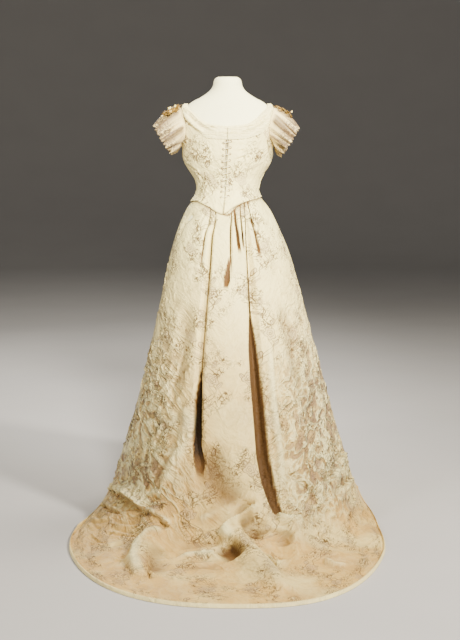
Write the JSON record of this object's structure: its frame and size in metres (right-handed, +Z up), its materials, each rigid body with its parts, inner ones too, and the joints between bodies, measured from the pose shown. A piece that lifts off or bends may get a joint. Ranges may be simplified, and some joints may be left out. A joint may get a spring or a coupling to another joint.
{
  "type": "wedding dress on a dress form",
  "caption": "Ivory brocaded silk wedding dress with a pointed, back-laced bodice, short flounced sleeves and a long train, on a limbless dress form with a round stand.",
  "frame": {"origin": "centre of the underside of the stand's round base, on the floor under the middle of the dress form", "axes": "+Z up; -Y to the laced back of the dress and its train, +Y to the front; -X to the wearer's left"},
  "size_m": [0.9917, 1.602, 1.4685],
  "materials": {
    "ivory_brocade": "satin",
    "silk_chiffon": "soft",
    "silk_lace": "soft",
    "silk_cord": "satin",
    "wax_blossom": "waxy",
    "form_cover": "matt",
    "stand_steel": "satin"
  },
  "bodies": {
    "root": {"form_torso": "form_cover", "stand_pole": "stand_steel", "stand_base": "stand_steel", "bodice_back_left": "ivory_brocade", "bodice_back_right": "ivory_brocade", "bodice_side_back_left": "ivory_brocade", "bodice_side_back_right": "ivory_brocade", "bodice_front": "ivory_brocade", "bertha": "silk_chiffon", "sleeve_left": "silk_lace", "sleeve_right": "silk_lace", "skirt_front": "ivory_brocade", "skirt_side_left": "ivory_brocade", "skirt_side_right": "ivory_brocade", "skirt_side_back_left": "ivory_brocade", "skirt_side_back_right": "ivory_brocade", "skirt_back": "ivory_brocade", "blossom_left": "wax_blossom", "blossom_right": "wax_blossom", "lace_01": "silk_cord", "lace_02": "silk_cord", "lace_03": "silk_cord", "lace_04": "silk_cord", "lace_05": "silk_cord", "lace_06": "silk_cord", "lace_07": "silk_cord", "lace_08": "silk_cord", "lace_09": "silk_cord", "lace_10": "silk_cord"}
  },
  "joints": []
}
